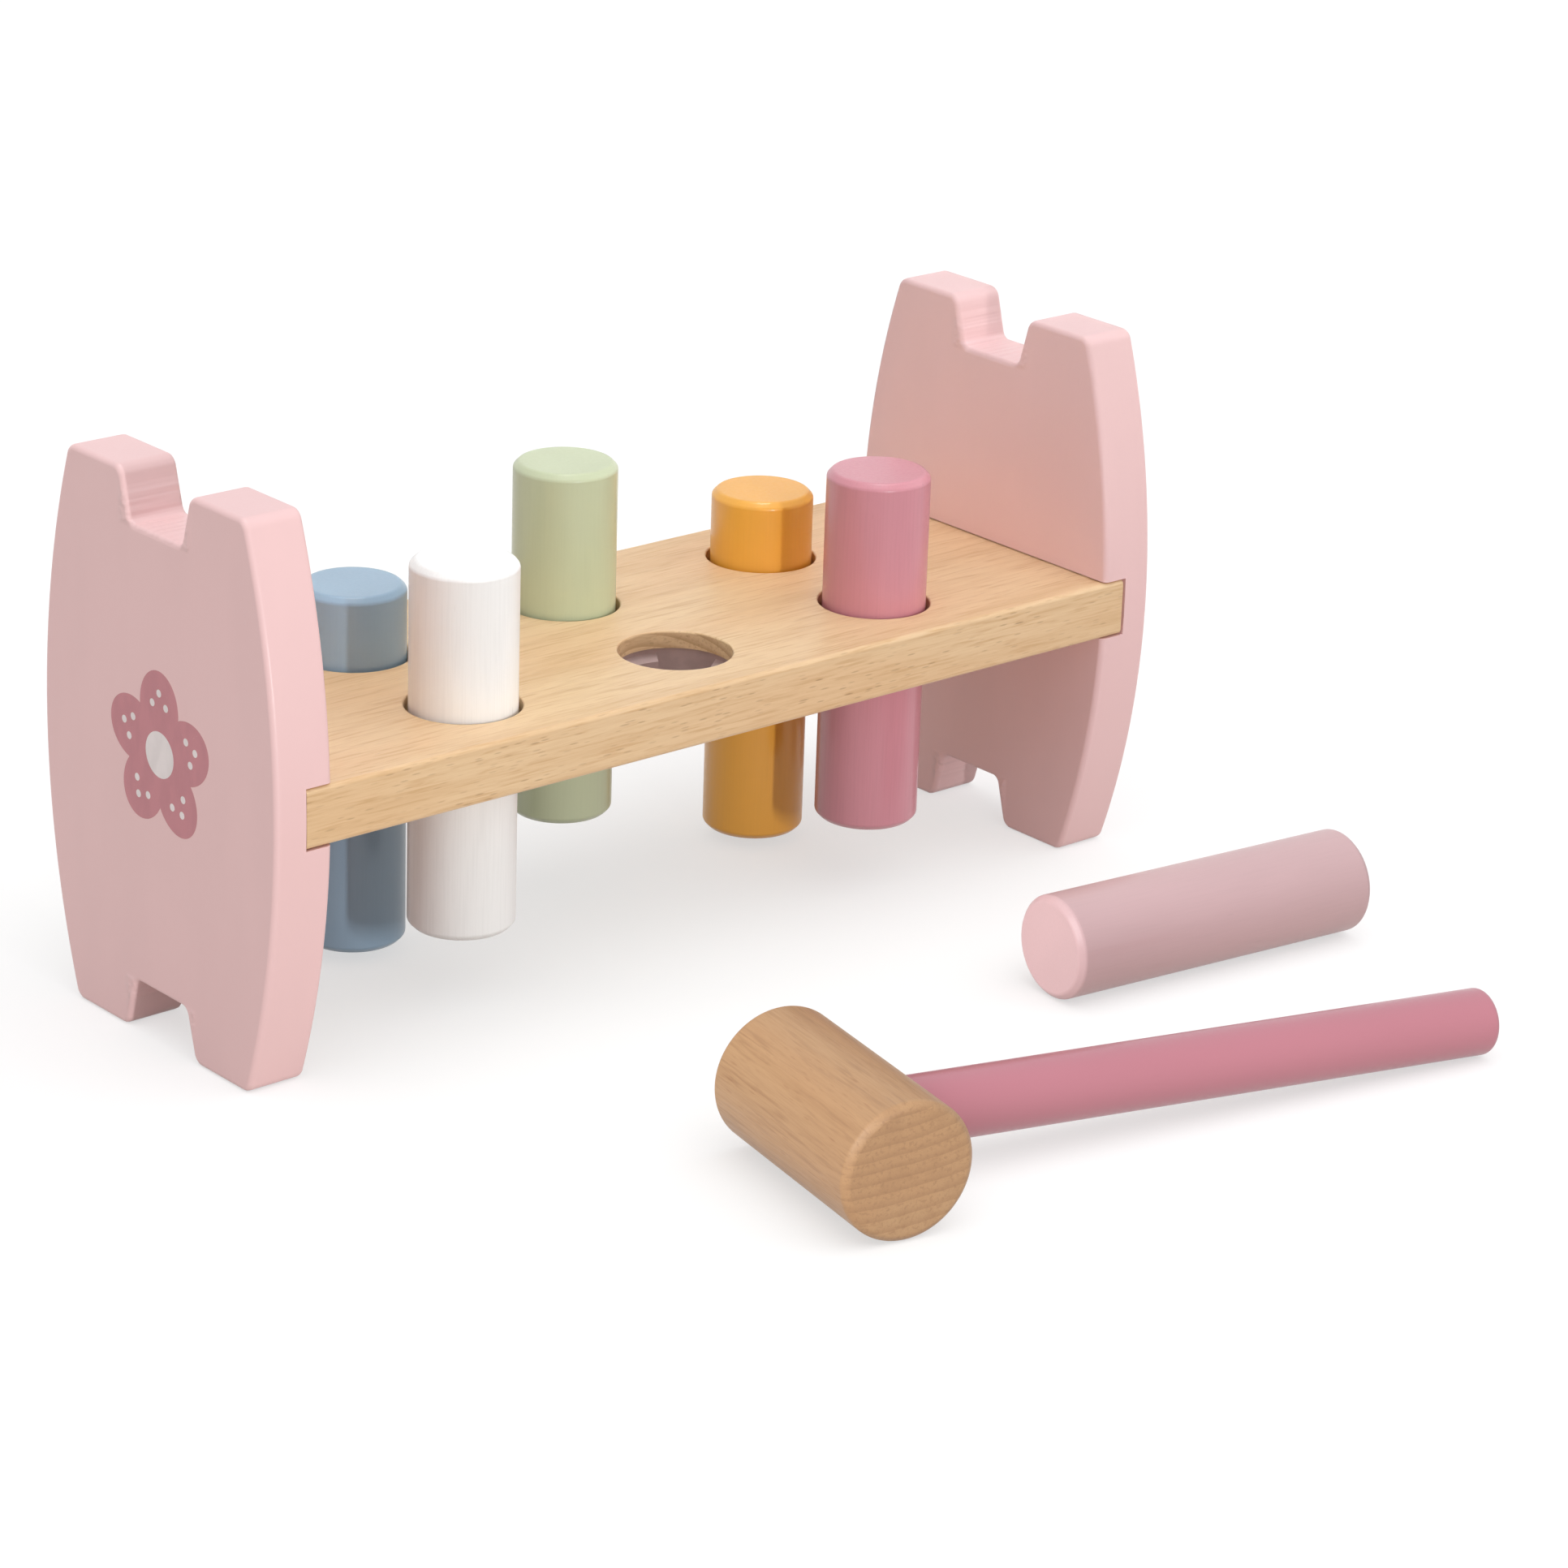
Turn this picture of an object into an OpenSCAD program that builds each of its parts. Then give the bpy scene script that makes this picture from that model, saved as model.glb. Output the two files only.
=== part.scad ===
// Peg pounding bench: a beech board between two painted end panels, six pegs and a mallet.
// Millimetres, +Z up. The origin is on the floor, under the middle of the bench.
// +X runs along the board to the right end panel, and -Y is the front.

/* [End panels] */
// Length of the bench over both end panels
bench_l = 262; // [230:1:320]
// Height of an end panel from its feet to its horns
panel_h = 133; // [115:1:160]
// Depth of an end panel half way up, where it is widest
panel_mid_w = 90; // [84:1:110]
// Depth of an end panel across its feet and across its horns
panel_end_w = 67.5; // [60:0.5:80]
// Thickness of an end panel
panel_t = 15; // [12:0.5:20]
// Width of the notch at its mouth, between the horns or the feet
notch_mouth_w = 26.4; // [22:0.2:32]
// Width of the notch at its floor
notch_floor_w = 19.6; // [12:0.2:21]
// Depth of the notch
notch_depth = 12.3; // [6:0.1:18]
// Radius of the horns, the feet and the mouths of the notches
panel_corner_r = 3; // [1:0.5:4]
// Radius in the corners of the notch's floor
notch_corner_r = 2; // [0.5:0.5:4]
// Depth of the groove that takes an end of the board
groove_depth = 7; // [4:0.5:8]

/* [Board] */
// Thickness of the board
board_t = 14; // [11:0.5:20]
// Rounding along the board's long edges
board_edge_r = 1.2; // [0.4:0.1:3]
// Gap between the board and its groove, above and below
groove_clear = 0.25; // [0.1:0.05:0.5]
// Mean gap between an end of the board and the bottom of its groove
board_end_gap = 0.5; // [0.4:0.1:0.8]
// How far the board sits over towards the left panel
board_shift = 0.4; // [0:0.1:0.4]

/* [Peg holes] */
// From the inner face of a panel to the middle of the nearest holes
end_margin = 54; // [45:0.5:60]
// Distance between the two rows of holes
row_pitch = 42; // [38:1:46]
// Gap all round between a peg and the wood of its hole
hole_clear = 1; // [0.6:0.1:1.5]
// Chamfer round the upper rim of a hole
hole_rim = 0.5; // [0.2:0.1:1]
// Thickness of the wood left above a grip ring
lip_t = 4.2; // [3:0.1:6]

/* [Grip rings] */
// How much wider the seat of a ring is than the hole, all round
seat_step = 2.5; // [2:0.1:3.5]
// Wall of a ring
ring_wall = 1.6; // [1:0.1:1.8]
// How far a ring stays above the underside of the board
ring_recess = 0.4; // [0.2:0.1:1]
// Gap all round between a ring and its seat
seat_clear = 0.05; // [0.02:0.01:0.1]
// Gap all round between a peg and the grip pads
grip_clear = 0.1; // [0.05:0.01:0.2]

/* [Pegs] */
// Diameter of a peg
peg_d = 25; // [20:0.5:28]
// Length of a peg
peg_l = 88; // [75:1:110]
// Chamfer at both ends of a peg
peg_chamfer = 1.4; // [0.5:0.1:3]
// Height of the blue peg's lower end
blue_peg_z = 2.8; // [0:0.1:50]
// Height of the white peg's lower end
white_peg_z = 20; // [0:0.1:50]
// Height of the green peg's lower end
green_peg_z = 21; // [0:0.1:50]
// Height of the orange peg's lower end
orange_peg_z = 2.7; // [0:0.1:50]
// Height of the mauve peg's lower end
mauve_peg_z = 18.4; // [0:0.1:50]
// Place of the loose pink peg along the bench
loose_peg_x = 93; // [60:0.5:120]
// Place of the loose pink peg in front of the bench
loose_peg_y = -105; // [-115:0.5:-80]
// Turn of the loose pink peg on the floor
loose_peg_turn = -6.6; // [-15:0.1:5]

/* [Mallet] */
// Diameter of the mallet's head
head_d = 32; // [28:0.5:40]
// Length of the mallet's head
head_l = 57; // [45:1:65]
// Chamfer round both faces of the head
head_chamfer = 1.3; // [0.5:0.1:3]
// Diameter of the handle
handle_d = 15.5; // [12:0.5:18]
// Reach of the handle from the axis of the head to its free end
handle_reach = 170; // [130:1:185]
// Rounding at the free end of the handle
handle_end_r = 1.6; // [0.5:0.1:4]
// Depth of the blind hole in the head that takes the handle
socket_depth = 22; // [14:0.5:24]
// Place of the mallet's head along the bench
mallet_x = -58.4; // [-90:0.1:-40]
// Place of the mallet's head in front of the bench
mallet_y = -148.9; // [-180:0.1:-140]
// Turn of the mallet on the floor
mallet_turn = -11.2; // [-20:0.1:0]

/* [Glued joints] */
// Diameter of a dowel between the board and a panel
dowel_d = 6; // [4:0.5:8]
// Length of a dowel
dowel_l = 24; // [16:0.5:30]
// Chamfer at both ends of a dowel
dowel_chamfer = 0.6; // [0.2:0.1:1]
// Wood left between the end of a dowel and the outer face of its panel
dowel_skin = 3; // [2:0.5:4]
// Distance between the two dowels at one end
dowel_pitch = 50; // [30:1:64]
// Gap all round between a glued pin and its hole
glue_clear = 0.05; // [0.02:0.01:0.1]
// Gap between the end of a glued pin and the bottom of its hole
glue_end_gap = 0.5; // [0.2:0.1:1]

/* [Hidden] */
$fn = 96;
// Overrun of every cut
cut = 1;
// Facets of the long curves at the sides of a panel
panel_side_fn = 360;
// Steps of a rounded end
end_steps = 6;

// Number of grip pads in a ring, the angle that each takes, and where the first begins
pad_count = 3;
pad_angle = 60;
pad_start = 68;
// Shares of a ring's height for the bare wall and the slope at each end of a pad
pad_margin_share = 0.08;
pad_slope_share = 0.24;

// Panels
panel_out_x = bench_l / 2;
groove_floor_x = panel_out_x - panel_t + groove_depth;
groove_h = board_t + 2 * groove_clear;
side_bulge = (panel_mid_w - panel_end_w) / 2;
side_r = (pow(panel_h / 2, 2) + pow(side_bulge, 2)) / (2 * side_bulge);

// Board
board_l = 2 * (groove_floor_x - board_end_gap);
board_w = panel_mid_w;
board_mid_z = panel_h / 2;
board_top_z = board_mid_z + board_t / 2;
board_under_z = board_mid_z - board_t / 2;

// Holes and rings
column_pitch = panel_out_x - panel_t - end_margin;
peg_r = peg_d / 2;
hole_r = peg_r + hole_clear;
seat_r = hole_r + seat_step;
seat_h = board_t - lip_t;
ring_r = seat_r - seat_clear;
ring_h = seat_h - ring_recess;
ring_in_r = ring_r - ring_wall;
ring_mid_r = ring_r - ring_wall / 2;
pad_r = peg_r + grip_clear;
pad_margin = ring_h * pad_margin_share;
pad_slope = ring_h * pad_slope_share;

// Mallet
head_r = head_d / 2;
handle_r = handle_d / 2;
handle_inner_x = head_r - socket_depth;
handle_rest_x = handle_reach - handle_end_r;
mallet_tilt = asin(head_r / norm([handle_rest_x, handle_r])) - atan2(handle_r, handle_rest_x);

// Dowels
dowel_r = dowel_d / 2;
dowel_out_x = panel_out_x - dowel_skin;
dowel_in_x = dowel_out_x - dowel_l;

// Columns run from -1 at the left to 1 at the right, rows from -1 at the front to 1 at the back.
function hole_place(column, row) = [column * column_pitch - board_shift, row * row_pitch / 2, 0];

module at_hole(column, row) {
    translate(hole_place(column, row))
        children();
}

module at_every_hole() {
    for (column = [-1:1])
        for (row = [-1, 1])
            at_hole(column, row)
                children();
}

// One notch, with its mouth on the line y = 0 and its floor below it
module notch() {
    polygon([
        [-notch_mouth_w / 2, 0],
        [-notch_floor_w / 2, -notch_depth],
        [notch_floor_w / 2, -notch_depth],
        [notch_mouth_w / 2, 0],
        [notch_mouth_w / 2, cut],
        [-notch_mouth_w / 2, cut]
    ]);
}

// The panel's outline: barrel sides, and a notch between its horns and between its feet
module panel_outline() {
    offset(r = -notch_corner_r)
        offset(delta = notch_corner_r)
            offset(r = panel_corner_r)
                offset(delta = -panel_corner_r)
                    difference() {
                        intersection() {
                            square([panel_mid_w, panel_h], center = true);
                            barrel();
                        }
                        translate([0, panel_h / 2])
                            notch();
                        translate([0, -panel_h / 2])
                            mirror([0, 1])
                                notch();
                    }
}

// The lens shape between the two curved sides of a panel
module barrel() {
    intersection() {
        translate([panel_mid_w / 2 - side_r, 0])
            circle(r = side_r, $fn = panel_side_fn);
        translate([side_r - panel_mid_w / 2, 0])
            circle(r = side_r, $fn = panel_side_fn);
    }
}

// The two dowel places at the right end of the board, along +X
module at_dowels() {
    for (side = [-1, 1])
        translate([0, side * dowel_pitch / 2, board_mid_z])
            rotate([0, 90, 0])
                children();
}

// The right end panel, and the mirror image of the left one
module end_panel() {
    difference() {
        translate([panel_out_x - panel_t, 0, board_mid_z])
            rotate([90, 0, 90])
                linear_extrude(panel_t)
                    panel_outline();
        translate([groove_floor_x - groove_depth - cut, -panel_mid_w / 2 - cut, board_mid_z - groove_h / 2])
            cube([groove_depth + cut, panel_mid_w + 2 * cut, groove_h]);
        dowel_holes();
    }
}

module dowel_pair() {
    at_dowels()
        translate([0, 0, dowel_in_x])
            turned_bar(dowel_l, dowel_r, dowel_chamfer);
}

// The holes that a dowel pair takes up in the board and in the panel
module dowel_holes() {
    at_dowels()
        translate([0, 0, dowel_in_x - glue_end_gap])
            cylinder(h = dowel_l + 2 * glue_end_gap, r = dowel_r + glue_clear);
}

// The board's cross-section, a rectangle with its four corners rounded
module board_section() {
    square([board_w - 2 * board_edge_r, board_t], center = true);
    square([board_w, board_t - 2 * board_edge_r], center = true);
    for (side = [-1, 1])
        for (level = [-1, 1])
            translate([side * (board_w / 2 - board_edge_r), level * (board_t / 2 - board_edge_r)])
                circle(r = board_edge_r);
}

// A peg hole: the hole in the lip, its rim, and the wider seat for the ring from below
module peg_hole() {
    translate([0, 0, board_under_z - cut])
        cylinder(h = board_t + 2 * cut, r = hole_r);
    translate([0, 0, board_top_z - hole_rim])
        cylinder(h = hole_rim + cut, r1 = hole_r, r2 = hole_r + hole_rim + cut);
    translate([0, 0, board_under_z - cut])
        cylinder(h = seat_h + cut, r = seat_r);
}

// A springy ring with pads that grip the peg
module grip_ring() {
    translate([0, 0, board_under_z + ring_recess]) {
        rotate_extrude()
            translate([ring_in_r, 0])
                square([ring_wall, ring_h]);
        for (i = [0:pad_count - 1])
            rotate([0, 0, pad_start + i * 360 / pad_count])
                rotate_extrude(angle = pad_angle)
                    pad_section();
    }
}

// One pad's section: it slopes in from the middle of the ring's wall to the peg and out again
module pad_section() {
    polygon([
        [ring_mid_r, pad_margin],
        [pad_r, pad_margin + pad_slope],
        [pad_r, ring_h - pad_margin - pad_slope],
        [ring_mid_r, ring_h - pad_margin]
    ]);
}

// A round bar with both ends chamfered, standing on z = 0
module turned_bar(length, radius, chamfer) {
    rotate_extrude()
        polygon([
            [0, 0],
            [radius - chamfer, 0],
            [radius, chamfer],
            [radius, length - chamfer],
            [radius - chamfer, length],
            [0, length]
        ]);
}

module peg() {
    turned_bar(peg_l, peg_r, peg_chamfer);
}

module peg_in_hole(column, row, lower_end) {
    at_hole(column, row)
        translate([0, 0, lower_end])
            peg();
}

// The mallet lies on the rim of its head and the end of its handle.
// Its own frame has the head along Y and the handle along +X.
module mallet_place() {
    translate([mallet_x, mallet_y, head_r])
        rotate([0, mallet_tilt, mallet_turn])
            children();
}

// The handle's section along its length, with a rounded free end
module handle_section() {
    polygon(concat(
        [[0, handle_inner_x], [handle_r, handle_inner_x]],
        [for (i = [0:end_steps])
            [handle_r - handle_end_r + handle_end_r * cos(90 * i / end_steps),
                handle_rest_x + handle_end_r * sin(90 * i / end_steps)]],
        [[0, handle_reach]]
    ));
}

module left_end_panel() {
    color([0.85, 0.71, 0.70])
        mirror([1, 0, 0])
            end_panel();
}

module right_end_panel() {
    color([0.85, 0.71, 0.70])
        end_panel();
}

module bench_board() {
    color([0.90, 0.77, 0.60])
        difference() {
            translate([-board_l / 2 - board_shift, 0, board_mid_z])
                rotate([90, 0, 90])
                    linear_extrude(board_l)
                        board_section();
            at_every_hole()
                peg_hole();
            for (turn = [0, 180])
                rotate([0, 0, turn])
                    dowel_holes();
        }
}

module left_dowels() {
    color([0.86, 0.73, 0.55])
        mirror([1, 0, 0])
            dowel_pair();
}

module right_dowels() {
    color([0.86, 0.73, 0.55])
        dowel_pair();
}

module ring_at(column, row) {
    color([0.62, 0.61, 0.63])
        at_hole(column, row)
            grip_ring();
}

module front_left_grip_ring() {
    ring_at(-1, -1);
}

module front_middle_grip_ring() {
    ring_at(0, -1);
}

module front_right_grip_ring() {
    ring_at(1, -1);
}

module back_left_grip_ring() {
    ring_at(-1, 1);
}

module back_middle_grip_ring() {
    ring_at(0, 1);
}

module back_right_grip_ring() {
    ring_at(1, 1);
}

module blue_peg() {
    color([0.57, 0.66, 0.73])
        peg_in_hole(-1, 1, blue_peg_z);
}

module white_peg() {
    color([0.95, 0.94, 0.93])
        peg_in_hole(-1, -1, white_peg_z);
}

module green_peg() {
    color([0.74, 0.77, 0.62])
        peg_in_hole(0, 1, green_peg_z);
}

module orange_peg() {
    color([0.87, 0.62, 0.27])
        peg_in_hole(1, 1, orange_peg_z);
}

module mauve_peg() {
    color([0.77, 0.51, 0.55])
        peg_in_hole(1, -1, mauve_peg_z);
}

module pink_peg() {
    color([0.86, 0.71, 0.72])
        translate([loose_peg_x, loose_peg_y, peg_r])
            rotate([0, 90, loose_peg_turn])
                translate([0, 0, -peg_l / 2])
                    peg();
}

module mallet_head() {
    color([0.83, 0.68, 0.50])
        mallet_place()
            difference() {
                rotate([90, 0, 0])
                    translate([0, 0, -head_l / 2])
                        turned_bar(head_l, head_r, head_chamfer);
                rotate([0, 90, 0])
                    translate([0, 0, handle_inner_x - glue_end_gap])
                        cylinder(h = socket_depth + glue_end_gap + cut, r = handle_r + glue_clear);
            }
}

module mallet_handle() {
    color([0.80, 0.50, 0.58])
        mallet_place()
            rotate([0, 90, 0])
                rotate_extrude()
                    handle_section();
}

left_end_panel();
right_end_panel();
bench_board();
left_dowels();
right_dowels();
front_left_grip_ring();
front_middle_grip_ring();
front_right_grip_ring();
back_left_grip_ring();
back_middle_grip_ring();
back_right_grip_ring();
blue_peg();
white_peg();
green_peg();
orange_peg();
mauve_peg();
pink_peg();
mallet_head();
mallet_handle();
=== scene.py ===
"""Peg pounding bench: painted end panels, a drilled beech board, six pegs and a mallet."""

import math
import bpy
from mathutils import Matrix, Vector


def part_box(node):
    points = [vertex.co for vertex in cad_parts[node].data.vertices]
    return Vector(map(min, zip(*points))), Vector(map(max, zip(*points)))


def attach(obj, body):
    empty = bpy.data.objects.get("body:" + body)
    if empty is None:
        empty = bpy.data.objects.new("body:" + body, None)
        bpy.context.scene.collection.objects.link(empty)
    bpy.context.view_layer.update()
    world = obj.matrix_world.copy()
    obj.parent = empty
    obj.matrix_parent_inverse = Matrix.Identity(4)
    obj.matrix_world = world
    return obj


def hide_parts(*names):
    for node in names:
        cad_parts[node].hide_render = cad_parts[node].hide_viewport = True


bl_info = {
    "name": "Peg Pounding Bench",
    "version": (1, 0, 0),
    "blender": (4, 5, 0),
    "location": "View3D > Sidebar > Peg Bench",
    "description": "Dresses a wooden peg pounding bench, its pegs and its mallet",
    "category": "Add Mesh",
}

import bmesh
import bpy
from bpy.props import FloatProperty, FloatVectorProperty, IntProperty, PointerProperty
from bpy.types import Operator, Panel, PropertyGroup
from mathutils import Euler, Matrix, Vector

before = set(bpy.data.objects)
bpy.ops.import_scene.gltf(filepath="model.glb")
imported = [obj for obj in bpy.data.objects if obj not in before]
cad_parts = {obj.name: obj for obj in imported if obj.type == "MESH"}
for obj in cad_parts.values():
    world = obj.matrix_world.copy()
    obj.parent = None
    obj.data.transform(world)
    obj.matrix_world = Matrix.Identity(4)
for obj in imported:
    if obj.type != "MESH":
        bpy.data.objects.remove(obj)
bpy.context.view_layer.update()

MM = 0.001
X_AXIS, Y_AXIS, Z_AXIS = [Vector(row) for row in Matrix.Identity(3)]
# Turns that lay a bar from Z along X or Y
ALONG_X = Matrix.Rotation(math.pi / 2, 4, "Y")
ALONG_Y = Matrix.Rotation(-math.pi / 2, 4, "X")

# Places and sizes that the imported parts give
PANEL_LOW, PANEL_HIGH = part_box("right_end_panel")
BOARD_LOW, BOARD_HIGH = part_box("bench_board")
DOWEL_LOW, DOWEL_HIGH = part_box("right_dowels")
RING_LOW, RING_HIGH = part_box("front_middle_grip_ring")
PEG_LOW, PEG_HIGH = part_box("white_peg")
RING_NODES = [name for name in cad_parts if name.endswith("_grip_ring")]
PEG_RADIUS = (PEG_HIGH.x - PEG_LOW.x) / 2
PEG_LENGTH = PEG_HIGH.z - PEG_LOW.z

# The pieces that lie beside the bench
LOOSE_PIECES = ("pink_peg_turned", "mallet_head_turned", "mallet_handle_painted")

# Facets of the curved shapes
SIDE_STEPS = 48
CORNER_STEPS = 8
EDGE_STEPS = 4
ROUND_STEPS = 128
PAD_STEPS = 20
DOT_STEPS = 48
# A face whose normal is this close to an axis lies square to it
SQUARE = 0.99
# A face whose normal rises less than this stands upright
LEVEL = 0.8
# Edges that turn more than this stay crisp
CRISP_ANGLE = math.radians(38)
# How far a cutter runs past what it cuts
OVERRUN = 2 * MM
MERGE = 0.001 * MM

# Number of grip pads in a ring
PAD_COUNT = 3
# The blossom's middle on its panel: sideways, and up from the feet
BLOSSOM_SIDE, BLOSSOM_HEIGHT = -1 * MM, 70 * MM
# The dots on a petal: outwards from its middle, and sideways
PETAL_DOTS = ((3.4 * MM, 0.0), (0.6 * MM, 2.6 * MM), (0.6 * MM, -2.6 * MM))

# Sizes of the patterns in the finishes, across the fibres and along them, in millimetres
PAINT_CLOUD = (18, 50)
PAINT_FIBRE = (0.45, 16)
PAINT_HAIR = (1.8, 12)
PAINT_PEEL = (0.9, 0.9)
BEECH_WANDER = (40, 150)
BEECH_WARMTH = (26, 110)
BEECH_BAND = (5, 60)
BEECH_STREAK = (0.9, 14)
BEECH_FIBRE = (0.32, 7)
BEECH_FINE_FLECK = (0.8, 5.5)
BEECH_BOLD_FLECK = (1.3, 9)
BEECH_PATCH = (7, 40)
PLASTIC_CLOUD = (3, 3)
PLASTIC_GRAIN = (0.25, 0.25)
INK_CLOUD = (4, 9)
INK_SPECK = (1.6, 1.6)
INK_GRAIN = (0.3, 0.3)
# Depth of the surfaces' relief
PEEL_RELIEF = 0.02 * MM
FIBRE_RELIEF = 0.03 * MM
PORE_RELIEF = 0.05 * MM
PLASTIC_RELIEF = 0.02 * MM
INK_RELIEF = 0.01 * MM
MARK_RELIEF = 0.6 * MM
# The cutter's marks in a notch: their length through the panel and their pitch
MARK_LENGTH, MARK_PITCH = 60 * MM, 1.7 * MM
# Where the marks begin at the notch's floor, where they grow faint above it, and their soft edge
MARKS_START = (-1 * MM, 0.5 * MM)
MARKS_FADE = (4 * MM, 9 * MM)
MARKS_EDGE = 1 * MM
# How far the middle of each wooden piece lay from the heart of the tree
BOARD_PITH = (48 * MM, 22 * MM, 0.0)
DOWEL_PITH = (30 * MM, 10 * MM, 0.0)
HEAD_PITH = (16 * MM, 118 * MM, 0.0)
# How far the year rings wander
BOARD_SWAY, HEAD_SWAY = 14 * MM, 5 * MM
# The middle of the dowels' grain, and how far the paint's pattern is moved on each end panel
DOWEL_MIDDLE = (0.0, 0.0, 0.06)
PANEL_SHIFT = 0.2
# Each peg's gloss, and how far its wood shows under the paint
PEG_FINISHES = {
    "blue": (0.36, 0.35),
    "white": (0.44, 0.7),
    "green": (0.36, 0.35),
    "orange": (0.36, 0.35),
    "mauve": (0.36, 0.7),
    "pink": (0.44, 0.35),
}

# Far lamps: how wide each looks, its azimuth (0 at the front, 90 at the right) and its
# elevation, in degrees
TOP_LAMP = (18.0, 0.0, 89.0)
RIGHT_LAMP = (60.0, 60.0, 30.0)
LEFT_LAMP = (60.0, -85.0, 30.0)
LOOSE_LAMP = (45.0, -84.0, 25.0)
MALLET_LAMP = (45.0, -76.0, 36.0)
FRONT_LAMP = (40.0, -20.0, 20.0)
FLOOR_LAMP = (70.0, -20.0, 73.0)
LAMP_DISTANCE = 2.0
# The tall front lamp: its sides, its low place for the bench and its higher one for the pegs
STRIP_SIDES = (0.020, 0.100)
KEY_PLACE = Vector((-0.160, -0.700, 0.070))
PEG_LAMP_PLACE = Vector((-0.160, -0.700, 0.240))
# How much of the floor's look is its own white, and how far the floor lies under the feet
FLOOR_GLOW = 0.58
FLOOR_DROP = 0.05 * MM
# The camera's sensor, and the nearest and farthest that it sees
SENSOR_WIDTH = 36.0
SIGHT = (0.01, 50.0)


def srgb(red, green, blue):
    """A colour written in the usual 0 to 255 steps, as Blender's linear values."""
    shares = [step / 255 for step in (red, green, blue)]
    return [s / 12.92 if s <= 0.04045 else ((s + 0.055) / 1.055) ** 2.4 for s in shares]


def length(name, description, millimetres):
    """A size that can be set in the sidebar."""
    return FloatProperty(
        name=name,
        description=description,
        default=millimetres * MM,
        min=0.0,
        subtype="DISTANCE",
        unit="LENGTH",
        precision=5,
    )


def turn(name, description, degrees):
    """An angle that can be set in the sidebar."""
    return FloatProperty(
        name=name,
        description=description,
        default=math.radians(degrees),
        subtype="ANGLE",
        unit="ROTATION",
    )


def paint(name, description, colour):
    """A colour that can be set in the sidebar."""
    return FloatVectorProperty(
        name=name,
        description=description,
        default=srgb(*colour),
        min=0.0,
        max=1.0,
        size=3,
        subtype="COLOR",
    )


def brightness(name, description, amount):
    """A lamp's strength that can be set in the sidebar."""
    return FloatProperty(name=name, description=description, default=amount, min=0.0)


class BenchSizes(PropertyGroup):
    """Sizes of the bench's finished shapes"""

    foot_span: length("Foot span", "Depth of an end panel across its feet and its horns", 67.5)
    notch_mouth: length("Notch mouth", "Width of a notch between the horns or the feet", 26.4)
    notch_floor: length("Notch floor", "Width of a notch at its floor", 19.6)
    notch_depth: length("Notch depth", "Depth of a notch", 12.3)
    horn_round: length("Horn rounding", "Radius of the horns, the feet and the notch mouths", 3.0)
    notch_round: length("Notch rounding", "Radius in the corners of a notch's floor", 2.0)
    panel_edge: length("Panel edge", "Rounding along the edges of an end panel", 1.3)
    groove_depth: length("Groove depth", "Depth of the groove that takes the board", 7.0)
    groove_gap: length("Groove gap", "Gap above and below the board in its groove", 0.25)
    glue_gap: length("Glue gap", "Gap all round a glued pin", 0.05)
    glue_end: length("Glue end", "Gap at the end of a glued pin", 0.5)
    board_edge: length("Board edge", "Rounding along the board's long edges", 1.2)
    hole_radius: length("Hole radius", "Radius of a peg hole", 13.5)
    hole_rim: length("Hole rim", "Rounding round the upper rim of a peg hole", 0.5)
    lip: length("Lip", "Wood left above a grip ring", 4.2)
    seat_gap: length("Seat gap", "Gap all round a grip ring", 0.05)
    ring_wall: length("Ring wall", "Wall of a grip ring", 1.6)
    pad_gap: length("Pad gap", "Gap between a peg and the grip pads", 0.1)
    pad_margin: length("Pad margin", "Bare wall above and below a grip pad", 0.75)
    pad_slope: length("Pad slope", "Height of the slope at each end of a grip pad", 2.26)
    pad_start: turn("Pad start", "Where the first grip pad begins", 68)
    pad_sweep: turn("Pad sweep", "How far a grip pad reaches round its ring", 60)
    peg_chamfer: length("Peg chamfer", "Chamfer at both ends of a peg", 1.4)
    peg_soft: length("Peg softness", "Rounding of the chamfer's edges", 0.5)
    loose_turn: turn("Loose peg turn", "Turn of the loose peg on the floor", -6.6)
    head_radius: length("Head radius", "Radius of the mallet's head", 16.0)
    head_length: length("Head length", "Length of the mallet's head", 57.0)
    head_chamfer: length("Head chamfer", "Chamfer round both faces of the head", 1.3)
    head_soft: length("Head softness", "Rounding of the head's chamfers", 0.6)
    handle_radius: length("Handle radius", "Radius of the handle", 7.75)
    handle_reach: length("Handle reach", "From the head's axis to the handle's free end", 170.0)
    handle_round: length("Handle rounding", "Rounding at the handle's free end", 1.6)
    socket_depth: length("Socket depth", "Depth of the hole that takes the handle", 22.0)
    mallet_turn: turn("Mallet turn", "Turn of the mallet on the floor", -11.2)
    petal_reach: length("Petal reach", "From the blossom's middle to the middle of a petal", 11.0)
    petal_length: length("Petal length", "Half the length of a petal", 8.6)
    petal_width: length("Petal width", "Half the width of a petal", 7.4)
    petal_count: IntProperty(name="Petals", description="Number of petals", default=5, min=3, max=9)
    blossom_centre: length("Blossom centre", "Radius of the blossom's white middle", 5.4)
    dot_radius: length("Dot radius", "Radius of a dot on a petal", 0.9)
    film: length("Ink film", "Thickness of the printed ink", 0.02)


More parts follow.
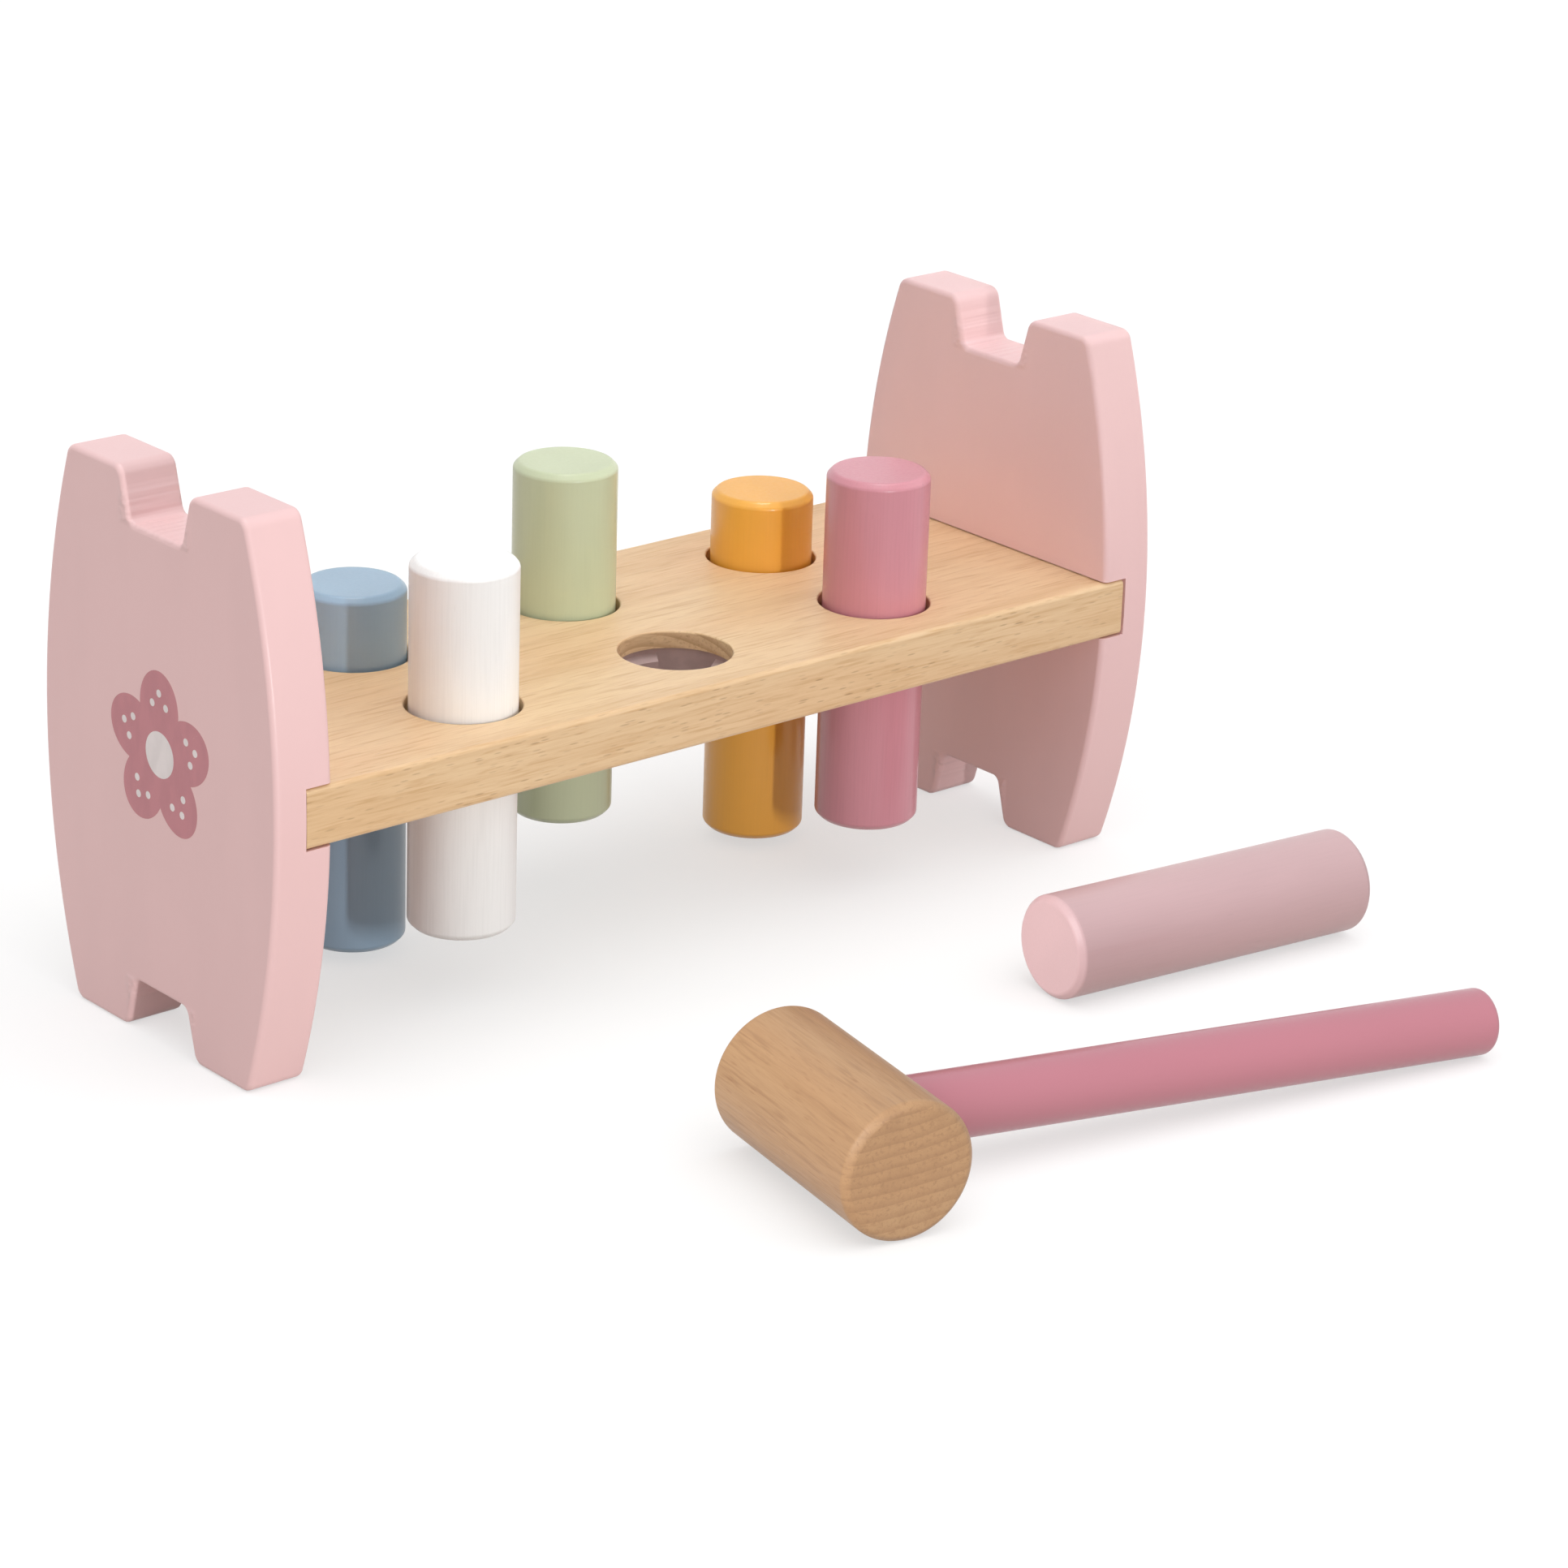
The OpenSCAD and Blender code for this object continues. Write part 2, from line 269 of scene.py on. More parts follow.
class BenchColours(PropertyGroup):
    """Colours of the bench's finishes"""

    panel: paint("Panel pink", "Paint of the end panels", (247, 208, 208))
    beech: paint("Beech", "Pale wood of the board and the dowels", (240, 209, 166))
    beech_dark: paint("Beech late wood", "Darker wood at each year's end", (212, 168, 116))
    fleck: paint("Beech fleck", "Short dark flecks in the wood", (150, 100, 60))
    head: paint("Head beech", "Wood of the mallet's head", (200, 160, 119))
    head_dark: paint("Head late wood", "Darker wood in the mallet's head", (171, 130, 93))
    hole: paint("Hole beech", "Bare wood in the walls of the peg holes", (246, 216, 172))
    hole_dark: paint("Hole late wood", "Darker wood in the walls of the peg holes", (208, 166, 121))
    ring: paint("Ring grey", "Plastic of the grip rings", (194, 168, 165))
    blue: paint("Blue", "Paint of the blue peg", (152, 180, 203))
    white: paint("White", "Paint of the white peg", (246, 246, 245))
    green: paint("Green", "Paint of the green peg", (196, 205, 170))
    orange: paint("Orange", "Paint of the orange peg", (242, 175, 67))
    mauve: paint("Mauve", "Paint of the mauve peg", (208, 139, 151))
    pink: paint("Pink", "Paint of the loose peg", (234, 196, 199))
    handle: paint("Handle rose", "Paint of the mallet's handle", (200, 127, 141))
    ink_rose: paint("Ink rose", "Petals of the printed blossom", (206, 138, 146))
    ink_white: paint("Ink white", "Middle and dots of the printed blossom", (246, 238, 238))


class StageSettings(PropertyGroup):
    """Camera and light"""

    lens: FloatProperty(name="Lens", description="Focal length", default=116.464, unit="CAMERA")
    place: FloatVectorProperty(
        name="Camera place",
        description="Where the camera stands",
        default=(-0.718940, -0.875140, 0.466429),
        size=3,
        subtype="TRANSLATION",
        unit="LENGTH",
    )
    azimuth: turn("Camera azimuth", "Turn of the camera away from the front", 41.6683)
    elevation: turn("Camera elevation", "How far the camera looks down", 21.1966)
    roll: turn("Camera roll", "Lean of the camera", 2.0730)
    shift: FloatVectorProperty(
        name="Lens shift", description="Shift of the frame", default=(-0.011985, 0.019059), size=2
    )
    key: brightness("Key light", "Power of the tall front lamp", 1.15)
    pegs: brightness("Peg light", "Power of the front lamp on the pegs", 1.70)
    end: brightness("End light", "More of the front lamp, on the left panel", 0.40)
    top: brightness("Top light", "Strength of the overhead lamp", 1.05)
    crown: brightness("Crown light", "More overhead light, on the pegs only", 0.3)
    right: brightness("Right light", "Strength of the lamp at the right", 0.5)
    left: brightness("Left light", "Strength of the lamp on the left panel", 0.34)
    loose: brightness("Loose light", "Strength of the lamp on the loose peg", 1.75)
    mallet: brightness("Mallet light", "Strength of the lamp at the left of the mallet", 1.5)
    front: brightness("Front light", "Strength of the lamp on the front of the mallet", 0.62)
    over_floor: brightness("Floor light", "Strength of the lamp over the floor", 1.5)
    sky: brightness("Sky light", "Strength of the light all round", 0.59)
    floor: paint("Floor", "Colour of the floor as it is seen", (255, 255, 255))
    bounce: paint("Floor bounce", "Colour of the floor as it lights the object", (174, 165, 158))
    floor_size: length("Floor size", "Side of the floor", 12000.0)


def boxed(low, high):
    """A block between two corners."""
    bm = bmesh.new()
    size = Vector(high) - Vector(low)
    place = Matrix.Translation((Vector(high) + Vector(low)) / 2) @ Matrix.Diagonal((*size, 1.0))
    bmesh.ops.create_cube(bm, size=1.0, matrix=place)
    return bm


def add_round(bm, radius, thickness, steps, place):
    """Adds a round bar or a disc along Z, put in its place by its middle."""
    bmesh.ops.create_cone(
        bm,
        cap_ends=True,
        segments=steps,
        radius1=radius,
        radius2=radius,
        depth=thickness,
        matrix=place,
    )


def turned(radius, start, end, place=Matrix.Identity(4)):
    """A round bar along Z, from start to end, then put in its place."""
    bm = bmesh.new()
    middle = Matrix.Translation((0.0, 0.0, (start + end) / 2))
    add_round(bm, radius, end - start, ROUND_STEPS, place @ middle)
    return bm


def bevelled(bm, parts, offset, steps, affect, clamped):
    """Bevels edges or corners in so many steps."""
    return bmesh.ops.bevel(
        bm,
        geom=parts,
        offset=offset,
        offset_type="OFFSET",
        profile_type="SUPERELLIPSE",
        segments=steps,
        profile=0.5,
        affect=affect,
        clamp_overlap=clamped,
        material=-1,
    )


def soften(bm, edges, offset, steps=EDGE_STEPS):
    """Rounds edges, or chamfers them in one step."""
    return bevelled(bm, edges, offset, steps, "EDGES", True)


def round_corners(bm, corners, radius):
    """Rounds like corners of a flat outline to a radius."""
    offset = radius * math.tan(corners[0].calc_edge_angle() / 2)
    bevelled(bm, corners, offset, CORNER_STEPS, "VERTICES", False)


def rims_of(bm, *ways):
    """The edges round the faces that look one of some ways."""
    return [
        edge
        for edge in bm.edges
        for face in edge.link_faces
        if any(face.normal.dot(way) > SQUARE for way in ways)
    ]


def chamfered(bm, chamfer, softness, axis):
    """Chamfers the rims of a round bar, and takes the sharpness off the chamfers."""
    slopes = soften(bm, rims_of(bm, axis, -axis), chamfer, 1)["faces"]
    around = {edge for face in slopes for edge in face.edges}
    sloping = set(slopes)
    soften(bm, [edge for edge in around if len(sloping & set(edge.link_faces)) == 1], softness)


def loose_object(name, bm):
    """An object of the finished shape, in the scene."""
    mesh = bpy.data.meshes.new(name)
    bm.to_mesh(mesh)
    bm.free()
    made = bpy.data.objects.new(name, mesh)
    bpy.context.scene.collection.objects.link(made)
    return made


def combined(bm, tool, operation):
    """Cuts a tool out of a closed shape, or joins it on."""
    work = loose_object("work", bm)
    cutter = loose_object("cutter", tool)
    boolean = work.modifiers.new("combine", "BOOLEAN")
    boolean.operation = operation
    boolean.solver = "EXACT"
    boolean.object = cutter
    depsgraph = bpy.context.evaluated_depsgraph_get()
    mesh = bpy.data.meshes.new_from_object(work.evaluated_get(depsgraph), depsgraph=depsgraph)
    result = bmesh.new()
    result.from_mesh(mesh)
    old = [work.data, cutter.data, mesh]
    bpy.data.objects.remove(work)
    bpy.data.objects.remove(cutter)
    for data in old:
        bpy.data.meshes.remove(data)
    if not result.faces:
        result.free()
        raise RuntimeError("a cut left nothing of the piece")
    bmesh.ops.remove_doubles(result, verts=result.verts[:], dist=MERGE)
    return result


def cut(bm, *tools):
    """Cuts tools out of a closed shape, one after the other."""
    for tool in tools:
        bm = combined(bm, tool, "DIFFERENCE")
    return bm


def finished(name, bm, body, materials, node=None):
    """Makes the piece, gives it its materials and sets it on its body, in place of its CAD node."""
    piece = loose_object(name, bm)
    mesh = piece.data
    mesh.shade_smooth()
    mesh.set_sharp_from_angle(angle=CRISP_ANGLE)
    for material in materials:
        mesh.materials.append(material)
    normals = piece.modifiers.new("even shading", "WEIGHTED_NORMAL")
    normals.keep_sharp = True
    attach(piece, body)
    if node:
        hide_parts(node)
    return piece


def add(tree, kind, inputs=None, **settings):
    """Adds a shader node, makes its settings, and sets or links its inputs."""
    made = tree.nodes.new(kind)
    for name, value in settings.items():
        setattr(made, name, value)
    for name, value in (inputs or {}).items():
        if isinstance(value, bpy.types.NodeSocket):
            tree.links.new(value, made.inputs[name])
        else:
            made.inputs[name].default_value = value
    return made


def colour_of(linear):
    """A colour as a shader's socket takes it."""
    return (*linear, 1.0)


def new_material(name):
    """A material, its node tree and its shader."""
    material = bpy.data.materials.new(name)
    material.use_nodes = True
    tree = material.node_tree
    return material, tree, tree.nodes["Principled BSDF"]


def fibre_space(tree, place, lean):
    """The piece's own space: its middle at zero and its wood fibres along Z."""
    coords = add(tree, "ShaderNodeTexCoord")
    inputs = {"Vector": coords.outputs["Object"], "Location": place, "Rotation": lean}
    return add(tree, "ShaderNodeMapping", inputs, vector_type="TEXTURE").outputs["Vector"]


def stretched(tree, space, size):
    """A space in which a pattern of size 1 is so wide and so long."""
    across, along = [1 / (millimetres * MM) for millimetres in size]
    scale = (across, across, along)
    return add(tree, "ShaderNodeMapping", {"Vector": space, "Scale": scale}).outputs["Vector"]


def noise(tree, space, size, detail=2.0, distortion=0.0):
    """Soft random streaks of a width and a length."""
    vector = stretched(tree, space, size)
    inputs = {"Vector": vector, "Scale": 1.0, "Detail": detail, "Distortion": distortion}
    return add(tree, "ShaderNodeTexNoise", inputs).outputs[0]


def flecks(tree, space, size, near, far, kept):
    """Scattered short dashes of uneven strength, up to 1 in a dash and 0 outside."""
    vector = stretched(tree, space, size)
    cells = add(tree, "ShaderNodeTexVoronoi", {"Vector": vector, "Scale": 1.0, "Randomness": 1.0})
    shape = spread(tree, cells.outputs["Distance"], near, far, 1.0, 0.0)
    lot = add(tree, "ShaderNodeSeparateColor", {"Color": cells.outputs["Color"]}).outputs["Red"]
    return times(tree, shape, spread(tree, lot, 1.0 - kept, 1.3 - kept, 0.0, 1.0))


def spread(tree, value, low, high, out_low, out_high):
    """Takes a value's range to another one, smoothly."""
    names = ("Value", "From Min", "From Max", "To Min", "To Max")
    inputs = dict(zip(names, (value, low, high, out_low, out_high)))
    return add(tree, "ShaderNodeMapRange", inputs, interpolation_type="SMOOTHSTEP").outputs[0]


def surface(tree, shader, tone, roughness, normal):
    """Links a finish's colour, roughness and relief to its shader."""
    for name, value in (("Base Color", tone), ("Roughness", roughness), ("Normal", normal)):
        tree.links.new(value, shader.inputs[name])


def times(tree, first, second):
    """Multiplies two values."""
    return add(tree, "ShaderNodeMath", {0: first, 1: second}, operation="MULTIPLY").outputs[0]


def plus(tree, first, second, clamped=False):
    """Adds two values, to no more than 1 where it is clamped."""
    inputs = {0: first, 1: second}
    return add(tree, "ShaderNodeMath", inputs, operation="ADD", use_clamp=clamped).outputs[0]


def mixed(tree, factor, first, second):
    """Mixes two colours."""
    inputs = {0: factor, 6: first, 7: second}
    return add(tree, "ShaderNodeMix", inputs, data_type="RGBA").outputs[2]


def bumped(tree, height, distance, strength=1.0, under=None):
    """A normal with small heights on the surface."""
    inputs = {"Height": height, "Distance": distance, "Strength": strength}
    if under:
        inputs["Normal"] = under
    return add(tree, "ShaderNodeBump", inputs).outputs["Normal"]


def toned(colour, share):
    """A colour made darker, or a little lighter where the share is over 1."""
    return colour_of([part * share for part in colour])


def size_of(tree, value):
    """A value without its sign."""
    return add(tree, "ShaderNodeMath", {0: value}, operation="ABSOLUTE").outputs[0]


def facing(tree, axis):
    """How squarely the surface faces along an axis, either way: 0 to 1."""
    normal = add(tree, "ShaderNodeTexCoord").outputs["Normal"]
    made = add(tree, "ShaderNodeVectorMath", {0: normal, 1: axis}, operation="DOT_PRODUCT")
    return size_of(tree, made.outputs["Value"])


def notch_ripples(tree, sizes):
    """Faint cutter marks through the thickness of an end panel, in its notches only."""
    coords = add(tree, "ShaderNodeTexCoord").outputs["Object"]
    scale = (1 / MARK_LENGTH, 1 / MARK_PITCH, 1 / MARK_PITCH)
    marks = add(tree, "ShaderNodeMapping", {"Vector": coords, "Scale": scale}).outputs["Vector"]
    inputs = {"Vector": marks, "Scale": 1.0, "Detail": 1.0}
    waves = add(tree, "ShaderNodeTexNoise", inputs).outputs[0]
    split = add(tree, "ShaderNodeSeparateXYZ", {"Vector": coords})
    mouth = sizes.notch_mouth / 2
    across = size_of(tree, split.outputs["Y"])
    inside = spread(tree, across, mouth - MARKS_EDGE, mouth + MARKS_EDGE, 1.0, 0.0)
    half_height = (PANEL_HIGH.z - PANEL_LOW.z) / 2
    floor = half_height - sizes.notch_depth
    level = size_of(tree, plus(tree, split.outputs["Z"], -half_height))
    low = spread(tree, level, *[floor + rise for rise in MARKS_FADE], 1.0, 0.25)
    deep = times(tree, spread(tree, level, *[floor + rise for rise in MARKS_START], 0.0, 1.0), low)
    return times(tree, waves, times(tree, inside, deep))


def painted_wood(
    name, colour, place, lean=(0.0, 0.0, 0.0), gloss=0.4, coat=0.25, show=0.5, marks=None
):
    """Satin paint; show is how far the wood's fibres can be made out under it."""
    material, tree, shader = new_material(name)
    space = fibre_space(tree, place, lean)
    grainy = show > 0.1
    cloud = spread(tree, noise(tree, space, PAINT_CLOUD), 0.35, 0.65, 0.0, 1.0 if grainy else 0.5)
    tone = mixed(tree, cloud, toned(colour, 0.98), toned(colour, 1.02))
    fibre = noise(tree, space, PAINT_FIBRE, 3.0)
    tone = mixed(tree, spread(tree, fibre, 0.42, 0.66, 0.0, 0.24 * show), tone, toned(colour, 0.80))
    hairs = flecks(tree, space, PAINT_HAIR, 0.05, 0.14, 0.4)
    tone = mixed(tree, times(tree, hairs, 0.6 * show), tone, toned(colour, 0.62))
    peel = noise(tree, space, PAINT_PEEL)
    roughness = spread(tree, peel, 0.3, 0.7, gloss - 0.04, gloss + 0.05)
    normal = bumped(tree, peel, PEEL_RELIEF, 0.3 if grainy else 0.04)
    if grainy:
        normal = bumped(tree, fibre, FIBRE_RELIEF, 0.6 * show, normal)
    if marks:
        normal = bumped(tree, notch_ripples(tree, marks), MARK_RELIEF, 1.0, normal)
    surface(tree, shader, tone, roughness, normal)
    shader.inputs["Coat Weight"].default_value = coat
    shader.inputs["Coat Roughness"].default_value = 0.12
    return material


def beech_wood(
    name, tones, place, lean, pith, rings=0.1, sway=BOARD_SWAY, flecked=0.6, quiet=None, ends=None
):
    """Lacquered beech in a pale, a late wood and a fleck tone.

    Faces square to the axis quiet have fewer flecks; those square to ends show the year rings.
    """
    pale, dark, fleck = [colour_of(tone) for tone in tones]
    material, tree, shader = new_material(name)
    space = fibre_space(tree, place, lean)
    wander = stretched(tree, space, BEECH_WANDER)
    drift = add(tree, "ShaderNodeTexNoise", {"Vector": wander, "Scale": 1.0})
    bend = add(
        tree,
        "ShaderNodeVectorMath",
        {0: drift.outputs["Color"], 1: (sway, sway, 0.0), 2: space},
        operation="MULTIPLY_ADD",
    ).outputs[0]
    moved = add(tree, "ShaderNodeMapping", {"Vector": bend, "Location": pith}).outputs["Vector"]
    wave = add(
        tree,
        "ShaderNodeTexWave",
        {"Vector": moved, "Scale": 110.0, "Distortion": 0.5, "Detail": 2.0, "Detail Scale": 0.6},
        wave_type="RINGS",
        rings_direction="Z",
        wave_profile="SAW",
    )
    late = spread(tree, wave.outputs["Fac"], 0.35, 1.0, 0.0, 1.0)
    warmth = spread(tree, noise(tree, space, BEECH_WARMTH), 0.38, 0.62, 0.0, 0.7)
    bands = spread(tree, noise(tree, space, BEECH_BAND), 0.42, 0.70, 0.0, 0.30)
    streaks = spread(tree, noise(tree, space, BEECH_STREAK, 3.0, 0.4), 0.48, 0.72, 0.0, 0.60)
    fibre = noise(tree, space, BEECH_FIBRE, 3.0)
    fine = flecks(tree, space, BEECH_FINE_FLECK, 0.12, 0.30, 0.85)
    bold = flecks(tree, space, BEECH_BOLD_FLECK, 0.09, 0.22, 0.5)
    patches = spread(tree, noise(tree, space, BEECH_PATCH), 0.38, 0.60, 0.4, 1.0)
    dashes = times(tree, plus(tree, times(tree, fine, 0.6), times(tree, bold, 0.8)), patches)
    if quiet:
        dashes = times(tree, dashes, spread(tree, facing(tree, quiet), 0.4, 0.8, 1.0, 0.4))
    if ends:
        square = facing(tree, ends)
        rings = spread(tree, square, 0.55, 0.95, rings, 0.5)
        dashes = times(tree, dashes, spread(tree, square, 0.55, 0.95, 1.0, 0.15))
    peach = colour_of([part * share for part, share in zip(pale, (0.97, 0.90, 0.85))])
    tone = mixed(tree, warmth, pale, peach)
    tone = mixed(tree, times(tree, late, rings), tone, dark)
    tone = mixed(tree, bands, tone, dark)
    tone = mixed(tree, streaks, tone, dark)
    tone = mixed(tree, spread(tree, fibre, 0.40, 0.68, 0.0, 0.16), tone, dark)
    tone = mixed(tree, times(tree, dashes, flecked), tone, fleck)
    roughness = spread(tree, fibre, 0.3, 0.7, 0.40, 0.54)
    pores = bumped(tree, plus(tree, fibre, times(tree, dashes, -0.6)), PORE_RELIEF, 0.45)
    surface(tree, shader, tone, roughness, pores)
    shader.inputs["Coat Weight"].default_value = 0.12
    shader.inputs["Coat Roughness"].default_value = 0.25
    return material


def ring_plastic(name, colour, place):
    """Springy grey plastic, a little milky."""
    material, tree, shader = new_material(name)
    space = fibre_space(tree, place, (0.0, 0.0, 0.0))
    cloud = spread(tree, noise(tree, space, PLASTIC_CLOUD, 3.0), 0.35, 0.65, 0.0, 1.0)
    tone = mixed(tree, cloud, toned(colour, 0.93), toned(colour, 1.03))
    grain = noise(tree, space, PLASTIC_GRAIN)
    roughness = spread(tree, grain, 0.3, 0.7, 0.36, 0.48)
    surface(tree, shader, tone, roughness, bumped(tree, grain, PLASTIC_RELIEF, 0.4))
    shader.inputs["Subsurface Weight"].default_value = 0.15
    shader.inputs["Subsurface Radius"].default_value = (1.0, 1.0, 1.0)
    shader.inputs["Subsurface Scale"].default_value = 0.8 * MM
    return material


def printed_ink(name, colour, place):
    """Screen printed ink, thin enough to leave tiny pale specks."""
    material, tree, shader = new_material(name)
    space = fibre_space(tree, place, (0.0, 0.0, 0.0))
    cloud = spread(tree, noise(tree, space, INK_CLOUD, 3.0), 0.35, 0.65, 0.0, 1.0)
    tone = mixed(tree, cloud, toned(colour, 0.96), toned(colour, 1.03))
    specks = flecks(tree, space, INK_SPECK, 0.04, 0.09, 0.7)
    tone = mixed(tree, times(tree, specks, 0.18), tone, colour_of(srgb(244, 226, 226)))
    grain = noise(tree, space, INK_GRAIN)
    roughness = spread(tree, grain, 0.3, 0.7, 0.44, 0.56)
    surface(tree, shader, tone, roughness, bumped(tree, grain, INK_RELIEF, 0.4))
    return material


def side_arc(bm, start, centre, angle):
    """Spins a corner down one curved side of a panel, and gives the corner at its other end."""
    made = bmesh.ops.spin(
        bm, geom=[start], cent=centre, axis=X_AXIS, angle=angle, steps=SIDE_STEPS
    )
    return next(part for part in made["geom_last"] if isinstance(part, bmesh.types.BMVert))


def notch_corners(bm, sizes, x, level, inward):
    """The four corners of a notch, from the back of its mouth to the front."""
    mouth, floor = sizes.notch_mouth / 2, sizes.notch_floor / 2
    depth = level + inward * sizes.notch_depth
    places = [(mouth, level), (floor, depth), (-floor, depth), (-mouth, level)]
    return [bm.verts.new((x, y, z)) for y, z in places]


def end_panel(sizes):
    """The right end panel: barrel sides, two notches, rounded edges, a groove and dowel holes."""
    low, high = PANEL_LOW, PANEL_HIGH
    x, middle = low.x, (low.z + high.z) / 2
    half_height = (high.z - low.z) / 2
    bulge = high.y - sizes.foot_span / 2
    radius = (half_height**2 + bulge**2) / (2 * bulge)
    sweep = -2 * math.asin(half_height / radius)
    bm = bmesh.new()
    back_horn = bm.verts.new((x, sizes.foot_span / 2, high.z))
    back_foot = side_arc(bm, back_horn, (x, high.y - radius, middle), sweep)
    front_foot = bm.verts.new((x, -sizes.foot_span / 2, low.z))
    front_horn = side_arc(bm, front_foot, (x, radius + low.y, middle), sweep)
    under = notch_corners(bm, sizes, x, low.z, 1)
    over = notch_corners(bm, sizes, x, high.z, -1)
    for chain in ([back_foot, *under, front_foot], [back_horn, *over, front_horn]):
        for first, second in zip(chain, chain[1:]):
            bm.edges.new((first, second))
    bmesh.ops.contextual_create(bm, geom=bm.edges[:])
    floors = [under[1], under[2], over[1], over[2]]
    mouths = [under[0], under[3], over[0], over[3]]
    round_corners(bm, [back_horn, back_foot, front_foot, front_horn], sizes.horn_round)
    round_corners(bm, mouths, sizes.horn_round)
    round_corners(bm, floors, sizes.notch_round)
    made = bmesh.ops.extrude_face_region(bm, geom=bm.faces[:])["geom"]
    far = [part for part in made if isinstance(part, bmesh.types.BMVert)]
    bmesh.ops.translate(bm, verts=far, vec=(high.x - low.x, 0.0, 0.0))
    bmesh.ops.recalc_face_normals(bm, faces=bm.faces[:])
    soften(bm, rims_of(bm, X_AXIS, -X_AXIS), sizes.panel_edge)
    groove_half = (BOARD_HIGH.z - BOARD_LOW.z) / 2 + sizes.groove_gap
    groove_low = (low.x - OVERRUN, low.y - OVERRUN, middle - groove_half)
    groove_high = (low.x + sizes.groove_depth, high.y + OVERRUN, middle + groove_half)
    return cut(bm, boxed(groove_low, groove_high), *dowel_holes(sizes))


def dowel_holes(sizes):
    """The two dowel holes at the right end of the bench."""
    radius = (DOWEL_HIGH.z - DOWEL_LOW.z) / 2
    holes = []
    for y in (DOWEL_LOW.y + radius, DOWEL_HIGH.y - radius):
        place = Matrix.Translation((0.0, y, DOWEL_LOW.z + radius)) @ ALONG_X
        start, end = DOWEL_LOW.x - sizes.glue_end, DOWEL_HIGH.x + sizes.glue_end
        holes.append(turned(radius + sizes.glue_gap, start, end, place))
    return holes


def mirrored(bm):
    """Mirrors a shape from the right end to the left, and turns its faces outwards again."""
    bmesh.ops.scale(bm, verts=bm.verts[:], vec=(-1.0, 1.0, 1.0))
    bmesh.ops.reverse_faces(bm, faces=bm.faces[:])
    return bm


class PEGBENCH_OT_end_panels(Operator):
    """Makes the two painted end panels"""

    bl_idname = "pegbench.end_panels"
    bl_label = "End panels"

    def execute(self, context):
        sizes, colours = context.scene.bench_sizes, context.scene.bench_colours
        middle = (PANEL_LOW + PANEL_HIGH) / 2
        for side, sign in (("left", -1), ("right", 1)):
            bm = end_panel(sizes)
            if sign < 0:
                mirrored(bm)
            place = (sign * middle.x, sign * PANEL_SHIFT, middle.z)
            name, node = f"{side}_panel_painted", f"{side}_end_panel"
            finish = f"{side}_panel_paint"
            material = painted_wood(
                finish, colours.panel, place, gloss=0.46, coat=0.1, show=0.05, marks=sizes
            )
            finished(name, bm, "bench", (material,), node)
        return {"FINISHED"}


def middle_of(node):
    """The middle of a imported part's box."""
    low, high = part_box(node)
    return (low + high) / 2


def peg_hole(sizes, centre):
    """The cutter of one peg hole: the ring's seat from below, the hole and its rounded rim."""
    seat = RING_HIGH.x - middle_of("front_middle_grip_ring").x + sizes.seat_gap
    under, top = BOARD_LOW.z, BOARD_HIGH.z
    ledge = top - sizes.lip
    rim = sizes.hole_rim
    start = under - OVERRUN
    profile = [(0.0, start), (seat, start), (seat, ledge), (sizes.hole_radius, ledge)]
    for step in range(EDGE_STEPS + 1):
        angle = math.pi / 2 * step / EDGE_STEPS
        out = sizes.hole_radius + rim * (1 - math.cos(angle))
        profile.append((out, top - rim + rim * math.sin(angle)))
    profile += [(sizes.hole_radius + rim, top + OVERRUN), (0.0, top + OVERRUN)]
    bm = bmesh.new()
    verts = [bm.verts.new((centre.x + r, centre.y, z)) for r, z in profile]
    edges = [bm.edges.new(pair) for pair in zip(verts, verts[1:])]
    spun(bm, verts + edges, centre)
    return bm


def spun(bm, geom, centre, angle=math.tau, steps=ROUND_STEPS):
    """Spins a profile round an upright axis, and closes what it makes."""
    bmesh.ops.spin(
        bm,
        geom=geom,
        cent=(centre.x, centre.y, 0.0),
        axis=(0.0, 0.0, 1.0),
        angle=angle,
        steps=steps,
        use_merge=angle == math.tau,
    )
    bmesh.ops.remove_doubles(bm, verts=bm.verts[:], dist=MERGE)
    bmesh.ops.recalc_face_normals(bm, faces=bm.faces[:])


class PEGBENCH_OT_board(Operator):
    """Makes the drilled beech board"""

    bl_idname = "pegbench.board"
    bl_label = "Board"

    def execute(self, context):
        sizes, colours = context.scene.bench_sizes, context.scene.bench_colours
        bm = boxed(BOARD_LOW, BOARD_HIGH)
        along = [
            edge for edge in bm.edges if abs(edge.verts[0].co.x - edge.verts[1].co.x) > OVERRUN
        ]
        soften(bm, along, sizes.board_edge)
        bm = cut(bm, *[peg_hole(sizes, middle_of(node)) for node in RING_NODES])
        bm = cut(bm, *dowel_holes(sizes), *[mirrored(hole) for hole in dowel_holes(sizes)])
        for face in bm.faces:
            within = face.calc_center_median() - BOARD_LOW
            beyond = BOARD_HIGH - face.calc_center_median()
            drilled = min(*within.xy, *beyond.xy) > OVERRUN and abs(face.normal.z) < LEVEL
            face.material_index = 1 if drilled else 0
        place = (BOARD_LOW + BOARD_HIGH) / 2
        lean = (0.0, math.pi / 2, 0.0)
        tones = (colours.beech, colours.beech_dark, colours.fleck)
        planed = beech_wood("board_beech", tones, place, lean, BOARD_PITH, quiet=Z_AXIS)
        tones = (colours.hole, colours.hole_dark, colours.fleck)
        bored = beech_wood("hole_beech", tones, place, lean, BOARD_PITH, rings=0.8)
        finished("board_drilled", bm, "bench", (planed, bored), "bench_board")
        return {"FINISHED"}


